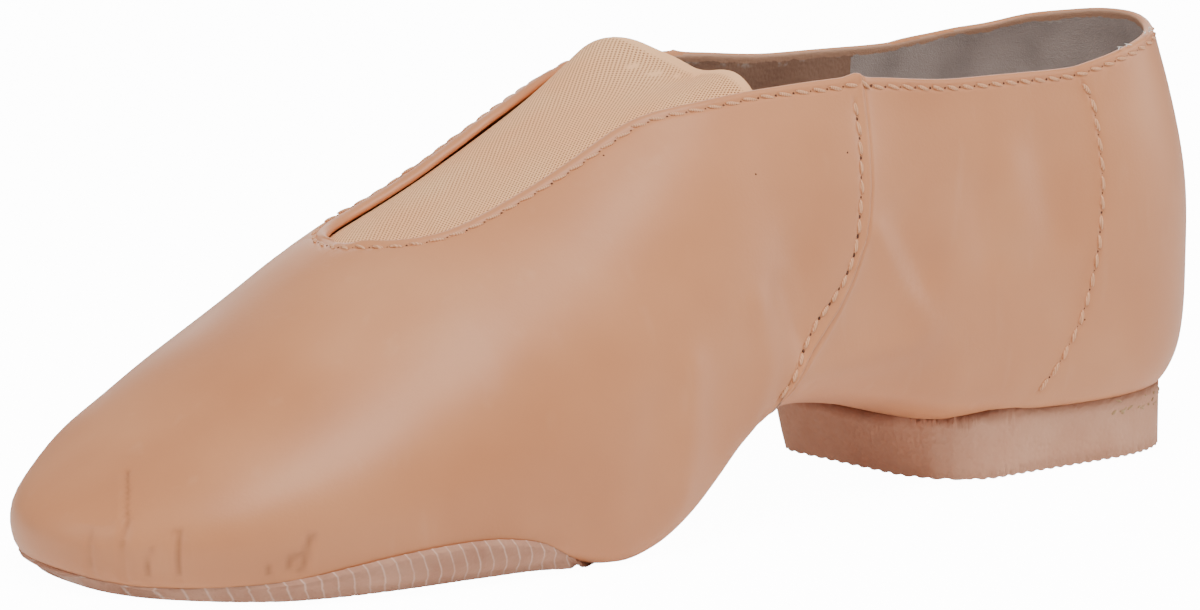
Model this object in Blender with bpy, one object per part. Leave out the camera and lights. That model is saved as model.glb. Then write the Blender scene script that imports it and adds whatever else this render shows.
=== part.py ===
"""A slip-on jazz shoe for the left foot: soft leather upper, elastic gore, insole and split sole.

Metres, +X to the toe, +Y to the outer side of the foot, +Z up, the floor at z = 0.
The origin is on the floor, under the middle of the heel.
Every curved piece is a band of the same last, grown or shrunk by the thickness of what lies between.
"""
from math import acos, cos, pi, radians, sin, sqrt

import bmesh
import bpy

# The upper over its last, outside sizes
LENGTH = 0.235
BALL_WIDTH = 0.083
HEEL_LIFT = 0.0088
COLLAR_HEIGHT = 0.0755
INSTEP_HEIGHT = 0.0790
WIDEST_HEIGHT = 0.0330
ARCH_RISE = 0.0105
TOE_SPRING = 0.0004
LEATHER = 0.0014

# Steps in the upper's wall
LAP_STEP = 0.0007
COUNTER_STEP = 0.0004
FOLD_STEP = 0.0004
FOLD_WIDTH = 0.0030
ROLL_EDGE = 0.6
STEP_RUN = 0.0005

# Openings of the upper
THROAT_TIP = 0.1740
TIP_WIDTH = 0.0305
TIP_LENGTH = 0.0120
TIP_BLEND = 0.0200
LASTING_MARGIN = 0.0110
HEEL_OPENING_END = 0.0560
BALL_OPENING_START = 0.1560
OPENING_ROUND = 0.0140

# Elastic gore
GORE_THICKNESS = 0.0011
GORE_GAP = 0.0005
GORE_BACK = 0.1080
GORE_TUCK = 0.0060
GORE_UNDERLAP = 0.0060
GORE_SLANT = 0.0090
GORE_SAG = 0.0045
GORE_SLACK = 0.0300

# Insole, sole patch and heel
FLAT_MARGIN = 0.0120
INSOLE_THICKNESS = 0.0012
INSOLE_GAP = 0.0005
INSOLE_MARGIN = 0.0045
SOLE_THICKNESS = 0.0013
SOLE_CURL = 0.0032
SOLE_TOE_CURL = 0.0013
SOLE_LOW_CURL = 0.0004
SOLE_LIP = 0.0006
SOLE_START = 0.1370
SOLE_ROUND = 0.0220
SOLE_PRESS = 0.0005
HEEL_LENGTH = 0.0645
HEEL_MARGIN = 0.0040
HEEL_CORNER = 0.0090
HEEL_BREAST = 0.0035
GAP = 0.0003

# How finely the bands are divided
SIDE_STEP = 0.0054
TOE_STEPS = 16
HEEL_STEPS = 14
UPPER_LEVELS = (6, 2, 10, 1, 1)
GORE_LEVELS = 5
INSOLE_LEVELS = (2, 4)
SOLE_LEVELS = (3, 5)
HEEL_LEVELS = (2, 5)

# Sections of the upper from heel to toe. Columns:
#   x        distance from the back of the heel, share of LENGTH
#   outer    half width to the outer side, share of BALL_WIDTH
#   inner    half width to the inner side, share of BALL_WIDTH
#   spine    sideways place of the ridge, share of BALL_WIDTH
#   lift     how much of HEEL_LIFT the underside keeps
#   arch     how much of ARCH_RISE the underside has
#   spring   how much of TOE_SPRING the underside has
#   wide     height of the widest line, share of WIDEST_HEIGHT
#   ridge    height of the closed form's top, share of INSTEP_HEIGHT
#   square   how square the underside is: 2 is an ellipse, 8 nearly flat
#   crown    how full the top is: 2 is an ellipse, 3 has steep sides
COLUMNS = ("x", "outer", "inner", "spine", "lift", "arch", "spring", "wide", "ridge", "square", "crown")
SECTIONS = (
    (0.000, 0.340, 0.334, 0.000, 1.00, 0.00, 0.00, 1.12, 1.14, 7.0, 2.1),
    (0.130, 0.340, 0.334, 0.000, 1.00, 0.00, 0.00, 1.10, 1.27, 7.0, 2.1),
    (0.260, 0.348, 0.330, 0.000, 1.00, 0.06, 0.00, 1.00, 1.32, 7.0, 2.2),
    (0.370, 0.375, 0.335, 0.000, 0.92, 0.60, 0.00, 0.90, 1.20, 5.5, 2.6),
    (0.466, 0.420, 0.365, -0.005, 0.72, 0.98, 0.00, 0.83, 1.000, 5.0, 3.0),
    (0.500, 0.440, 0.380, -0.010, 0.54, 0.92, 0.00, 0.79, 0.960, 5.0, 3.0),
    (0.530, 0.458, 0.392, -0.013, 0.33, 0.64, 0.00, 0.74, 0.922, 5.5, 2.9),
    (0.565, 0.478, 0.408, -0.017, 0.10, 0.24, 0.00, 0.67, 0.872, 6.5, 2.7),
    (0.600, 0.494, 0.428, -0.020, 0.00, -0.02, 0.00, 0.60, 0.815, 7.5, 2.6),
    (0.650, 0.506, 0.450, -0.026, 0.00, -0.03, 0.00, 0.53, 0.735, 8.5, 2.5),
    (0.740, 0.500, 0.462, -0.038, 0.00, 0.00, 0.00, 0.43, 0.618, 9.0, 2.3),
    (0.770, 0.488, 0.455, -0.040, 0.00, 0.00, 0.02, 0.39, 0.573, 9.0, 2.2),
    (0.880, 0.445, 0.435, -0.040, 0.00, 0.00, 0.20, 0.31, 0.404, 9.0, 2.1),
    (1.000, 0.410, 0.410, -0.040, 0.00, 0.00, 1.00, 0.28, 0.215, 8.0, 2.1),
)
TINY = 1e-12
HEEL_CENTRE = 0.130
TOE_CENTRE = 0.770
HEEL_POWER = 2.25
TOE_POWER = 2.1
CORNER_ANGLE = 50
SIDE_ANGLE = 25

# Topline behind the throat's tip. Columns: x, share of LENGTH; height, share of COLLAR_HEIGHT
TOPLINE = (
    (0.000, 1.005),
    (0.080, 0.975),
    (0.180, 0.928),
    (0.280, 0.932),
    (0.382, 0.958),
    (0.466, 0.944),
    (0.545, 0.904),
    (0.600, 0.825),
    (0.640, 0.760),
    (0.680, 0.705),
    (0.742, 0.645),
)

# Back edge of the gore. Columns: sideways place, share of BALL_WIDTH; rise over the last, share of GORE_SAG
GORE_EDGE = (
    (-0.20, 0.00),
    (-0.13, 0.45),
    (-0.02, -0.30),
    (0.08, -1.00),
    (0.20, -0.15),
    (0.26, 0.00),
)

# Edge of the vamp, which laps over the quarters, and edge of the heel counter.
# Columns: height, share of COLLAR_HEIGHT; x, share of LENGTH
LAP_EDGE = ((0.18, 0.500), (0.32, 0.472), (0.46, 0.425), (0.60, 0.393), (0.75, 0.382), (1.00, 0.374))
COUNTER_EDGE = ((0.18, 0.214), (0.34, 0.181), (0.50, 0.163), (0.70, 0.155), (0.85, 0.159), (1.00, 0.172))
LAP_X = 0.385
COUNTER_X = 0.165
EDGE_REACH = 0.110


def slopes(points):
    """Slopes at the points of a curve that never overshoots them."""
    gaps = [(b[1] - a[1]) / (b[0] - a[0]) for a, b in zip(points, points[1:])]
    inner = [0.0 if a * b <= 0 else 2 * a * b / (a + b) for a, b in zip(gaps, gaps[1:])]
    return [gaps[0]] + inner + [gaps[-1]]


def through(points):
    """A smooth function of one value through the points of a table."""
    tangents = slopes(points)

    def value(at):
        at = min(max(at, points[0][0]), points[-1][0])
        i = max(k for k in range(len(points) - 1) if points[k][0] <= at)
        (x0, y0), (x1, y1) = points[i], points[i + 1]
        h = x1 - x0
        t = (at - x0) / h
        level = y0 * (1 + 2 * t) * (1 - t) ** 2 + y1 * t * t * (3 - 2 * t)
        return level + h * (tangents[i] * t * (1 - t) ** 2 - tangents[i + 1] * t * t * (1 - t))

    return value


SECTION = {name: through([(row[0], row[k]) for row in SECTIONS])
           for k, name in enumerate(COLUMNS) if k}
topline_share = through(TOPLINE)
lap_share = through(LAP_EDGE)
counter_share = through(COUNTER_EDGE)
gore_rise = through(GORE_EDGE)


def column(name, x):
    """A column of the section table at a distance from the back of the heel."""
    return SECTION[name](x / LENGTH)


def ease(low, high, value):
    """0 below low, 1 above high, smooth between."""
    t = min(max((value - low) / (high - low), 0.0), 1.0)
    return t * t * (3 - 2 * t)


def underside(x, grow):
    """Height of the last's underside, grown downwards."""
    stand = SOLE_THICKNESS + GAP + LAP_STEP + LEATHER - SOLE_PRESS
    seat = HEEL_LIFT + GAP + COUNTER_STEP + LEATHER
    level = stand + column("lift", x) * (seat - stand)
    return level + column("arch", x) * ARCH_RISE + column("spring", x) * TOE_SPRING - grow


def lap_edge(height):
    return lap_share(height / COLLAR_HEIGHT) * LENGTH


def counter_edge(height):
    return counter_share(height / COLLAR_HEIGHT) * LENGTH


def drift(x, height):
    """How far a section near a panel edge leans so that it follows the edge."""
    total = 0.0
    if height < 0:
        return total
    for at, edge in ((LAP_X, lap_edge), (COUNTER_X, counter_edge)):
        room = EDGE_REACH if x / LENGTH > at else min(EDGE_REACH, at - HEEL_CENTRE)
        near = 1 - ease(0.0, room, abs(x / LENGTH - at))
        total += near * (edge(height) - at * LENGTH)
    return total


class Station:
    """One upright half section of the last, looking outwards from its spine."""

    def __init__(self, centre, turn):
        self.centre = centre
        self.turn = turn
        self.along = cos(turn)
        self.across = sin(turn)
        self.straight = abs(self.along) < 1e-9
        self.side = 1 if self.across > 0 or (self.across == 0 and self.along > 0) else -1

    def reach(self, centre, grow):
        """Distance from the spine to the outline in this direction."""
        share = column("outer" if self.side > 0 else "inner", centre) - self.side * column("spine", centre)
        wide = share * BALL_WIDTH - LEATHER + grow
        if self.straight:
            return wide
        if self.along < 0:
            long, power = centre - LEATHER + grow, HEEL_POWER
        else:
            long, power = LENGTH - centre - LEATHER + grow, TOE_POWER
        return ((abs(self.along) / long) ** power + (abs(self.across) / wide) ** power) ** (-1 / power)

    def place(self, centre, angle, grow):
        reach = self.reach(centre, grow)
        edge = centre + reach * self.along
        shape = column("square" if angle < 0 else "crown", edge)
        out = max(cos(angle) - TINY, 0.0) ** (2 / shape) * reach
        x = centre + out * self.along
        y = column("spine", centre) * BALL_WIDTH + out * self.across
        wide = column("wide", edge) * WIDEST_HEIGHT
        if angle < 0:
            z = wide - (wide - underside(x, grow)) * (-sin(angle)) ** (4 / shape)
        else:
            z = wide + (column("ridge", x) * INSTEP_HEIGHT - LEATHER + grow - wide) * sin(angle)
        return (x, y, z)

    def point(self, angle, grow):
        """A point of the section: -90 degrees is the underside's middle, 0 the widest, 90 the ridge."""
        point = self.place(self.centre, angle, grow)
        if not self.straight:
            return point
        return self.place(self.centre + drift(self.centre, point[2]), angle, grow)

    def angle_where(self, low, high, reached):
        """The first angle between low and high at which the section reaches something."""
        for _ in range(26):
            middle = (low + high) / 2
            if reached(self.point(middle, LEATHER)):
                high = middle
            else:
                low = middle
        return high

    def angle_at_width(self, width):
        return self.angle_where(0.0, pi / 2, lambda p: abs(p[1] - column("spine", p[0]) * BALL_WIDTH) <= width)

    def angle_under(self, margin):
        """Where the underside is this far inside the outline."""
        reach = self.reach(self.centre, LEATHER)
        shape = column("square", self.centre + reach * self.along)
        return -acos(max(1 - margin / reach, 0.0) ** (shape / 2))


def run_between(stops, step):
    """Even stations between each two stops, about a step apart."""
    run = [stops[0]]
    for a, b in zip(stops, stops[1:]):
        count = max(round(abs(b - a) / step), 1)
        run += [a + (b - a) * k / count for k in range(1, count + 1)]
    return run


def inner_side(run):
    return [Station(x, -pi / 2) for x in run]


def outer_side(run):
    return [Station(x, pi / 2) for x in reversed(run)]


def round_toe():
    return [Station(TOE_CENTRE * LENGTH, -pi / 2 + pi * k / TOE_STEPS) for k in range(1, TOE_STEPS)]


def round_heel():
    return [Station(HEEL_CENTRE * LENGTH, pi / 2 + pi * k / HEEL_STEPS) for k in range(1, HEEL_STEPS)]


def even_angles(station, low, high, levels):
    """Angles from low to high, evenly spaced along the section."""
    fine = 24
    angles = [low + (high - low) * k / fine for k in range(fine + 1)]
    points = [station.point(a, LEATHER) for a in angles]
    run = [0.0]
    for p, q in zip(points, points[1:]):
        run.append(run[-1] + sqrt(sum((b - a) ** 2 for a, b in zip(p, q))))
    result = []
    for k in range(1, levels + 1):
        goal = run[-1] * k / levels
        i = max(j for j in range(fine) if run[j] <= goal + 1e-12)
        part = (goal - run[i]) / max(run[i + 1] - run[i], 1e-12)
        result.append(angles[i] + (angles[i + 1] - angles[i]) * min(part, 1.0))
    return result


def band(name, colour, stations, stops, counts, outside, inside, ring=True):
    """A closed solid between two skins of the last, through the stops' angles at each station."""
    mesh = bmesh.new()
    rows = []
    for station in stations:
        angles = [stops[0](station)]
        for stop, levels in zip(stops[1:], counts):
            angles += even_angles(station, angles[-1], stop(station), levels)
        rows.append(angles)
    skins = [[[mesh.verts.new(skin(s, a)) for a in row] for s, row in zip(stations, rows)]
             for skin in (outside, inside)]
    outer, inner = skins
    levels = sum(counts)
    count = len(stations)
    for i in range(count if ring else count - 1):
        j = (i + 1) % count
        for k in range(levels):
            mesh.faces.new((outer[i][k], outer[j][k], outer[j][k + 1], outer[i][k + 1]))
            mesh.faces.new((inner[i][k], inner[i][k + 1], inner[j][k + 1], inner[j][k]))
        for k, meeting in ((0, -pi / 2), (levels, pi / 2)):
            if all(abs(rows[m][k] - meeting) < 1e-5 for m in (i, j)):
                continue
            mesh.faces.new((outer[i][k], outer[j][k], inner[j][k], inner[i][k]))
    if not ring:
        for i in (0, count - 1):
            for k in range(levels):
                mesh.faces.new((outer[i][k], outer[i][k + 1], inner[i][k + 1], inner[i][k]))
    bmesh.ops.remove_doubles(mesh, verts=mesh.verts, dist=1e-6)
    bmesh.ops.dissolve_degenerate(mesh, edges=mesh.edges, dist=1e-6)
    bmesh.ops.recalc_face_normals(mesh, faces=mesh.faces)
    for vertex in mesh.verts:
        vertex.co.x -= HEEL_MARGIN + HEEL_LENGTH / 2
    data = bpy.data.meshes.new(name)
    mesh.to_mesh(data)
    mesh.free()
    data.shade_smooth()
    data.set_sharp_from_angle(angle=radians(40))
    data.materials.append(material(name, *colour))
    piece = bpy.data.objects.new(name, data)
    PARTS.objects.link(piece)
    return piece


def material(name, colour, roughness):
    finish = bpy.data.materials.new(name)
    finish.use_nodes = True
    shader = finish.node_tree.nodes["Principled BSDF"]
    shader.inputs["Base Color"].default_value = (*colour, 1.0)
    shader.inputs["Roughness"].default_value = roughness
    shader.inputs["Metallic"].default_value = 0.0
    return finish


def round_off(run, length):
    """Share of the full width this far from a rounded end."""
    return sqrt(1 - (1 - min(max(run / length, 0.0), 1.0)) ** 2)


def topline_angle(station):
    """Angle of the upper's top edge: the throat's round tip in front, the topline's height behind it."""
    edge = station.point(0.0, LEATHER)[0]
    run = THROAT_TIP - station.centre
    if run <= 0 or edge >= THROAT_TIP:
        return pi / 2
    by_width = station.angle_at_width(TIP_WIDTH / 2 * round_off(run, TIP_LENGTH))
    if run <= TIP_LENGTH:
        return by_width
    by_height = station.angle_where(
        0.0, pi / 2, lambda p: p[2] >= topline_share(p[0] / LENGTH) * COLLAR_HEIGHT)
    back = ease(TIP_LENGTH, TIP_LENGTH + TIP_BLEND, run)
    return by_width * (1 - back) + by_height * back


def below_topline(station, distance):
    """Angle this far down the wall from the top edge."""
    top = topline_angle(station)
    end = station.point(top, LEATHER)
    return station.angle_where(0.0, top, lambda p: sum((a - b) ** 2 for a, b in zip(p, end)) <= distance ** 2)


def margin_angle(station):
    """Angle of the upper's bottom edge: a lasting margin at heel and forefoot, closed under the arch."""
    x = station.centre
    if HEEL_OPENING_END <= x <= BALL_OPENING_START:
        return -pi / 2
    run = HEEL_OPENING_END - x if x < HEEL_OPENING_END else x - BALL_OPENING_START
    reach = station.reach(x, LEATHER)
    return station.angle_under(reach - (reach - LASTING_MARGIN) * round_off(run, OPENING_ROUND))


def leather_at(station, angle):
    """Thickness of the upper's wall: vamp and counter lap over the quarters, and the top edge is rolled."""
    lap = LAP_STEP if station.centre > LAP_X * LENGTH else 0.0
    counter = COUNTER_STEP if station.centre < COUNTER_X * LENGTH else 0.0
    wall = LEATHER + (lap + counter) * ease(-radians(75), -radians(CORNER_ANGLE), angle)
    top = topline_angle(station)
    if top < pi / 2 - 1e-6:
        if angle > top - 1e-9:
            return wall * ROLL_EDGE
        if angle > below_topline(station, FOLD_WIDTH) + 1e-9:
            return wall + FOLD_STEP
    return wall


def throat_tip():
    """Stations spaced evenly round the throat's tip."""
    steps = 4
    return [THROAT_TIP - TIP_LENGTH * (1 - sin(pi / 2 * k / steps)) for k in range(1, steps + 1)]


def build_upper():
    lap, counter = LAP_X * LENGTH, COUNTER_X * LENGTH
    half = STEP_RUN / 2
    run = run_between((HEEL_CENTRE * LENGTH, counter - half, counter + half, HEEL_OPENING_END,
                       lap - half, lap + half, BALL_OPENING_START, THROAT_TIP - TIP_LENGTH), SIDE_STEP)
    run += throat_tip() + [TOE_CENTRE * LENGTH]
    stations = inner_side(run) + round_toe() + outer_side(run) + round_heel()
    stops = (margin_angle,
             lambda s: -radians(CORNER_ANGLE),
             lambda s: -radians(SIDE_ANGLE),
             lambda s: below_topline(s, FOLD_WIDTH),
             lambda s: below_topline(s, FOLD_WIDTH / 3),
             topline_angle)
    return band("upper", ((0.53, 0.33, 0.22), 0.42), stations, stops, UPPER_LEVELS,
                lambda s, a: s.point(a, leather_at(s, a)),
                lambda s, a: s.point(a, 0.0))


def gore_slant(station):
    """How far forward the inner end of a gore section lies, most at the back edge."""
    back = 1 - ease(0.0, GORE_SLACK, station.centre - GORE_BACK)
    return GORE_SLANT * back if station.side < 0 else 0.0


def gore_angle(station):
    """Lower edge of the gore, tucked under the throat's edges and, in front, under the vamp."""
    centre = station.centre + gore_slant(station)
    end = Station(centre, station.turn)
    run = THROAT_TIP + GORE_TUCK - centre
    if run <= 0:
        return pi / 2
    length = TIP_LENGTH + GORE_TUCK
    tip = end.angle_at_width((TIP_WIDTH / 2 + GORE_UNDERLAP) * round_off(run, length))
    if run < length:
        return tip
    return min(tip, below_topline(end, GORE_UNDERLAP))


def build_gore():
    run = run_between((GORE_BACK, THROAT_TIP - TIP_LENGTH), SIDE_STEP) + throat_tip()
    run += [THROAT_TIP + GORE_TUCK * share for share in (0.4, 0.8, 1.0)]
    stations = inner_side(run) + outer_side(run)[1:]

    def skin(grow):
        def place(station, angle):
            low = gore_angle(station)
            part = (pi / 2 - angle) / max(pi / 2 - low, 1e-9)
            x, y, z = Station(station.centre + gore_slant(station) * part, station.turn).point(angle, grow)
            back = 1 - ease(0.0, GORE_SLACK, station.centre - GORE_BACK)
            return (x, y, z + back * GORE_SAG * gore_rise(y / BALL_WIDTH))
        return place

    return band("elastic_gore", ((0.66, 0.44, 0.31), 0.75), stations, (gore_angle, lambda s: pi / 2),
                (GORE_LEVELS,), skin(-GORE_GAP), skin(-GORE_GAP - GORE_THICKNESS), ring=False)


def build_insole():
    run = run_between((HEEL_CENTRE * LENGTH, TOE_CENTRE * LENGTH), SIDE_STEP)
    stations = inner_side(run) + round_toe() + outer_side(run) + round_heel()
    stops = (lambda s: -pi / 2, lambda s: s.angle_under(FLAT_MARGIN), lambda s: s.angle_under(INSOLE_MARGIN))
    return band("insole", ((0.55, 0.42, 0.34), 0.8), stations, stops, INSOLE_LEVELS,
                lambda s, a: s.point(a, -INSOLE_GAP),
                lambda s, a: s.point(a, -INSOLE_GAP - INSOLE_THICKNESS))


def sole_edge_angle(station):
    """Upper edge of the sole patch: curled up round the toe and rounded off towards the arch."""
    x = station.centre
    toe = ease(TOE_CENTRE * LENGTH, LENGTH, station.point(0.0, LEATHER)[0])
    rise = SOLE_CURL + (SOLE_TOE_CURL - SOLE_CURL) * toe
    low = 1 - ease(SOLE_START, SOLE_START + SOLE_ROUND * 2, x)
    rise += (SOLE_LOW_CURL - SOLE_CURL) * low
    curl = station.angle_where(-pi / 2, 0.0, lambda p: p[2] >= underside(p[0], LEATHER) + rise)
    if x >= SOLE_START + SOLE_ROUND:
        return curl
    reach = station.reach(x, LEATHER)
    half = reach * cos(curl) ** (2 / column("square", x))
    return station.angle_under(reach - half * round_off(x - SOLE_START, SOLE_ROUND))


def build_front_sole():
    steps = 5
    run = [SOLE_START + SOLE_ROUND * (1 - cos(pi / 2 * k / steps)) for k in range(steps)]
    run += run_between((SOLE_START + SOLE_ROUND, TOE_CENTRE * LENGTH), SIDE_STEP)
    stations = inner_side(run) + round_toe() + outer_side(run)
    shell = LEATHER + LAP_STEP + GAP

    def outside(station, angle):
        x, y, _ = station.point(angle, shell + SOLE_LIP)
        lip = angle > sole_edge_angle(station) - 1e-9
        z = station.point(angle, shell + (SOLE_LIP if lip else SOLE_THICKNESS))[2]
        return (x, y, max(z, 0.0))

    def corner(station):
        return min(sole_edge_angle(station), station.angle_under(FLAT_MARGIN))

    return band("front_sole", ((0.40, 0.24, 0.19), 0.85), stations, (lambda s: -pi / 2, corner, sole_edge_angle),
                SOLE_LEVELS, outside, lambda s, a: s.point(a, shell))


def heel_edge_angle(station):
    """Edge of the heel block's top, with rounded front corners."""
    front = HEEL_MARGIN + HEEL_LENGTH
    run = min(max(station.centre - (front - HEEL_CORNER), 0.0), HEEL_CORNER)
    rounding = HEEL_CORNER - sqrt(HEEL_CORNER ** 2 - run ** 2)
    return station.angle_under(HEEL_MARGIN + COUNTER_STEP + GAP + rounding)


def build_heel():
    front = HEEL_MARGIN + HEEL_LENGTH
    run = run_between((HEEL_CENTRE * LENGTH, front - HEEL_CORNER), SIDE_STEP)
    run += [front - HEEL_CORNER * (1 - sin(pi / 2 * k / 5)) for k in range(1, 6)]
    stations = outer_side(run) + round_heel() + inner_side(run)

    def top(station, angle):
        return station.point(angle, LEATHER + COUNTER_STEP + GAP)

    def bottom(station, angle):
        x, y, _ = top(station, angle)
        return (x - HEEL_BREAST * ease(front - 3 * HEEL_CORNER, front, x), y, 0.0)

    def corner(station):
        return min(heel_edge_angle(station), station.angle_under(FLAT_MARGIN))

    return band("heel", ((0.47, 0.26, 0.18), 0.8), stations, (lambda s: -pi / 2, corner, heel_edge_angle),
                HEEL_LEVELS, bottom, top, ring=False)


for item in list(bpy.data.objects):
    bpy.data.objects.remove(item, do_unlink=True)
PARTS = bpy.data.collections.new("jazz_shoe")
bpy.context.scene.collection.children.link(PARTS)
build_upper()
build_gore()
build_insole()
build_front_sole()
build_heel()
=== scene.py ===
# %% [markdown]
# # A slip-on jazz shoe, dressed step by step
# The frame holds five plain solids: the upper, the gore, the insole, the front patch and the heel.
# This lesson gives them their leather, elastic and rubber, then sews them together.
# Lengths are in metres: +X runs to the toe, +Y to the outer side of the foot, +Z up from the floor.

# %% Load the frame
import random
from math import cos, pi, radians, sin

import bmesh
import bpy
import numpy as np
from mathutils import Matrix, Vector
from mathutils.bvhtree import BVHTree


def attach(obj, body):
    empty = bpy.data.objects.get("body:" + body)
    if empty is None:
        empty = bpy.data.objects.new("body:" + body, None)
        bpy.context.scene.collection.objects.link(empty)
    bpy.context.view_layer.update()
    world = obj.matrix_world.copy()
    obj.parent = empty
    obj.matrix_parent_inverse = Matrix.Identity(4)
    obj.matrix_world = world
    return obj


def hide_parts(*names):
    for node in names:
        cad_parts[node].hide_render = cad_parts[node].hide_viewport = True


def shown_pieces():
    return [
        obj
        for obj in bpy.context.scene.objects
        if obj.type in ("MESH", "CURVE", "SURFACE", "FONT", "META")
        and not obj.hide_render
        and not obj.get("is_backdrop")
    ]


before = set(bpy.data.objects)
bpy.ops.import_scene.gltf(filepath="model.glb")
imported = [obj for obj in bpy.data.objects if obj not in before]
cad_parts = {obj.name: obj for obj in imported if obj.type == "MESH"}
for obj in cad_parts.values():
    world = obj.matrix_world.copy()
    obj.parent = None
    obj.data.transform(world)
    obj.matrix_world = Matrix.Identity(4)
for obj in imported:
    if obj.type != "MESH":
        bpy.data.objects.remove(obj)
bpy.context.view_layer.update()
MM = 0.001
print("nodes:", sorted(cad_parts))

# %% [markdown]
# ## Camera
# A product shot of a shoe is taken from far away with a long lens, so that heel and toe keep their true sizes.
# The camera stands at the outer side, a little in front of the ankle, and looks down by nine degrees.
# Its place and angles are plain numbers, because the shoe already stands where the frame puts it.

# %% Place the camera
SENSOR = 36.0
view = bpy.data.cameras.new("camera")
view.sensor_width = SENSOR
view.lens = 173.2
view.clip_start = 0.05
view.clip_end = 30
camera = bpy.data.objects.new("camera", view)
camera.location = (0.6835, 0.741, 0.1872)
camera.rotation_euler = (radians(90 - 9.16), 0, radians(141.2))
bpy.context.scene.collection.objects.link(camera)
bpy.context.scene.camera = camera
print("lens", view.lens)

# %% [markdown]
# ## Floor and light
# The shoe stands on a pale, seamless floor. Soft boxes are area lights: the bigger the lamp, the softer the
# edge of its highlight. One large box hangs overhead, three stand at the outer side, the toe and behind the
# heel. A bright backdrop makes the edges gleam, where leather is seen at a low angle.
# The floor glows for the camera alone, and throws back little light, so that the underside stays dark.

# %% Floor, sky and soft boxes
FLOOR_SIZE, FLOOR_DROP = 6, 0.2 * MM
FLOOR_GLOW, BOUNCE = 13.0, 0.24
SKY = 0.22
WARM = (1.0, 0.94, 0.87)
mesh = bmesh.new()
bmesh.ops.create_grid(mesh, x_segments=1, y_segments=1, size=FLOOR_SIZE)
ground = bpy.data.meshes.new("floor")
mesh.to_mesh(ground)
mesh.free()
floor = bpy.data.objects.new("floor", ground)
floor.location.z = -FLOOR_DROP
bpy.context.scene.collection.objects.link(floor)
floor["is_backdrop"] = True

pale = bpy.data.materials.new("pale_floor")
pale.use_nodes = True
shader = pale.node_tree.nodes["Principled BSDF"]
shader.inputs["Base Color"].default_value = (0.86, 0.86, 0.86, 1)
shader.inputs["Roughness"].default_value = 0.9
shader.inputs["Specular IOR Level"].default_value = 0.1
shader.inputs["Emission Strength"].default_value = 1.0
ray = pale.node_tree.nodes.new("ShaderNodeLightPath")
glow = pale.node_tree.nodes.new("ShaderNodeMix")
glow.data_type = "RGBA"
glow.inputs[6].default_value = (BOUNCE, BOUNCE, BOUNCE, 1)
glow.inputs[7].default_value = (FLOOR_GLOW, FLOOR_GLOW, FLOOR_GLOW, 1)
pale.node_tree.links.new(ray.outputs["Is Camera Ray"], glow.inputs["Factor"])
pale.node_tree.links.new(glow.outputs[2], shader.inputs["Emission Color"])
ground.materials.append(pale)

sky = bpy.data.worlds.new("sky")
sky.use_nodes = True
sky.node_tree.nodes["Background"].inputs["Color"].default_value = (1, 1, 1, 1)
sky.node_tree.nodes["Background"].inputs["Strength"].default_value = SKY
bpy.context.scene.world = sky


def soft_box(name, place, target, size, watts):
    lamp = bpy.data.lights.new(name, "AREA")
    lamp.shape = "RECTANGLE"
    lamp.size, lamp.size_y = size
    lamp.energy = watts
    lamp.color = WARM
    box = bpy.data.objects.new(name, lamp)
    box.location = place
    aim = Vector(target) - Vector(place)
    box.rotation_euler = aim.to_track_quat("-Z", "Y").to_euler()
    bpy.context.scene.collection.objects.link(box)


soft_box("overhead", (0.28, 0.34, 0.94), (0.10, 0, 0.03), (0.75, 0.5), 12.0)
soft_box("outer_side", (0.55, 1.05, 0.30), (0.06, 0, 0.03), (0.7, 0.4), 0.6)
soft_box("toe_side", (0.80, -0.30, 0.35), (0.15, 0, 0.02), (0.4, 0.4), 1.3)
soft_box("behind_the_heel", (-0.75, 0.30, 0.35), (-0.02, 0, 0.04), (0.35, 0.6), 3.0)
soft_box("backdrop", (-0.85, -1.0, 0.50), (0.03, 0, 0.05), (1.4, 0.7), 8.0)

# %% [markdown]
# ## Helpers for finishes
# A material is a small graph. These helpers add a node with its values and join sockets, so that each finish
# below reads as a short list. Patterns read Object coordinates, which stay with the piece from every view.

# %% Node helpers
def node(tree, kind, settings=None, **values):
    """A shader node; settings are its own options, values go to its input sockets."""
    made = tree.nodes.new(kind)
    for name, value in (settings or {}).items():
        setattr(made, name, value)
    for name, value in values.items():
        made.inputs[name.replace("_", " ")].default_value = value
    return made


def join(tree, *pairs):
    for a, b in pairs:
        tree.links.new(a, b)


def ramp(tree, source, stops):
    """A colour ramp from pairs of place and colour."""
    made = tree.nodes.new("ShaderNodeValToRGB")
    bar = made.color_ramp
    while len(bar.elements) < len(stops):
        bar.elements.new(0.5)
    for element, (place, colour) in zip(bar.elements, stops):
        element.position = place
        element.color = (*colour, 1)
    join(tree, (source, made.inputs["Fac"]))
    return made.outputs["Color"]


def math(tree, operation, *values):
    made = tree.nodes.new("ShaderNodeMath")
    made.operation = operation
    for socket, value in zip(made.inputs, values):
        if isinstance(value, (int, float)):
            socket.default_value = value
        else:
            join(tree, (value, socket))
    return made.outputs["Value"]


def mixed(tree, factor, first, second):
    """A mix of two colours, each a socket or a plain colour."""
    made = node(tree, "ShaderNodeMix", {"data_type": "RGBA"})
    for slot, value in ((0, factor), (6, first), (7, second)):
        if isinstance(value, tuple):
            made.inputs[slot].default_value = value
        else:
            join(tree, (value, made.inputs[slot]))
    return made.outputs[2]


def spread(tree, value, low, high, start, end):
    """A value taken from one range to another, and held at its ends."""
    made = node(tree, "ShaderNodeMapRange", From_Min=low, From_Max=high, To_Min=start, To_Max=end)
    join(tree, (value, made.inputs["Value"]))
    return made.outputs["Result"]


def noise(tree, place, scale, detail=2.0):
    made = node(tree, "ShaderNodeTexNoise", Scale=scale, Detail=detail)
    join(tree, (place, made.inputs["Vector"]))
    return made.outputs["Fac"]


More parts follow.
